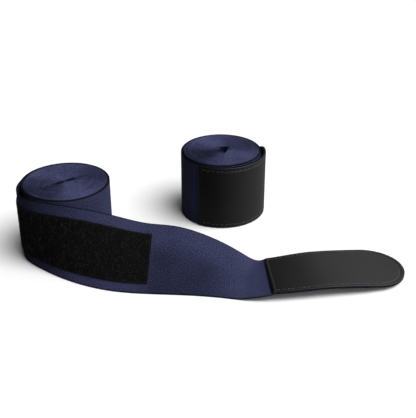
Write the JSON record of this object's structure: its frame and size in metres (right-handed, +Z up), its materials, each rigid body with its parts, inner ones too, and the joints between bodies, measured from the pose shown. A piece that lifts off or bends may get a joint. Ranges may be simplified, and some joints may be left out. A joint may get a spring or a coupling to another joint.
{
  "type": "hand wrap pair",
  "caption": "Pair of rolled elastic hand wraps with loop patch and leather hook tab; one closed, one with its last stretch pulled out flat.",
  "frame": {"origin": "middle of the pair's footprint, on the surface that both rolls stand on", "axes": "+X towards the tip of the open wrap's tab, +Y from the open wrap's front towards the closed wrap, +Z up along both rolls"},
  "size_m": [0.2672, 0.1612, 0.05],
  "materials": {
    "band": "navy elastic twill weave",
    "thumb_loop": "navy narrow woven tape",
    "loop_pile": "black loop pile",
    "hook": "black nylon hook tape",
    "leather": "black grained synthetic leather, low sheen",
    "thread": "grey sewing thread",
    "patch_thread": "black sewing thread"
  },
  "bodies": {
    "open_roll": {"open_wound_core": "band", "open_thumb_loop": "thumb_loop", "open_thumb_loop_bartack": "thread"},
    "open_band": {"open_run": "band", "open_loop_patch": "loop_pile", "open_patch_stitching": "patch_thread"},
    "open_tab": {"open_band_tail": "band", "open_tab_leather": "leather", "open_tab_hook_strip": "hook", "open_tab_hem": "leather", "open_tab_stitching": "thread"},
    "closed_roll": {"closed_wound_core": "band", "closed_last_turn": "band", "closed_thumb_loop": "thumb_loop", "closed_thumb_loop_bartack": "thread", "closed_loop_patch": "loop_pile", "closed_patch_stitching": "patch_thread"},
    "closed_tab": {"closed_band_tail": "band", "closed_tab_leather": "leather", "closed_tab_hook_strip": "hook", "closed_tab_hem": "leather", "closed_tab_stitching": "thread"}
  },
  "joints": [
    {"name": "open_run_swing", "type": "hinge", "parent": "open_roll", "child": "open_band", "pos_m": [-0.13187, -0.0039, 0], "axis": [0, 0, -1], "range_deg": [0, 45]},
    {"name": "open_tab_fold", "type": "hinge", "parent": "open_band", "child": "open_tab", "pos_m": [0.03957, -0.05541, 0.00578], "axis": [0.0435, -0.996, 0.0785], "range_deg": [0, 120]},
    {"name": "closed_roll_lift", "type": "slide", "parent": "open_roll", "child": "closed_roll", "axis": [0, 0, 1], "range_m": [0, 0.12]},
    {"name": "closed_tab_peel", "type": "hinge", "parent": "closed_roll", "child": "closed_tab", "pos_m": [-0.00854, 0.02002, 0.025], "axis": [0, 0, -1], "range_deg": [0, 70]}
  ]
}
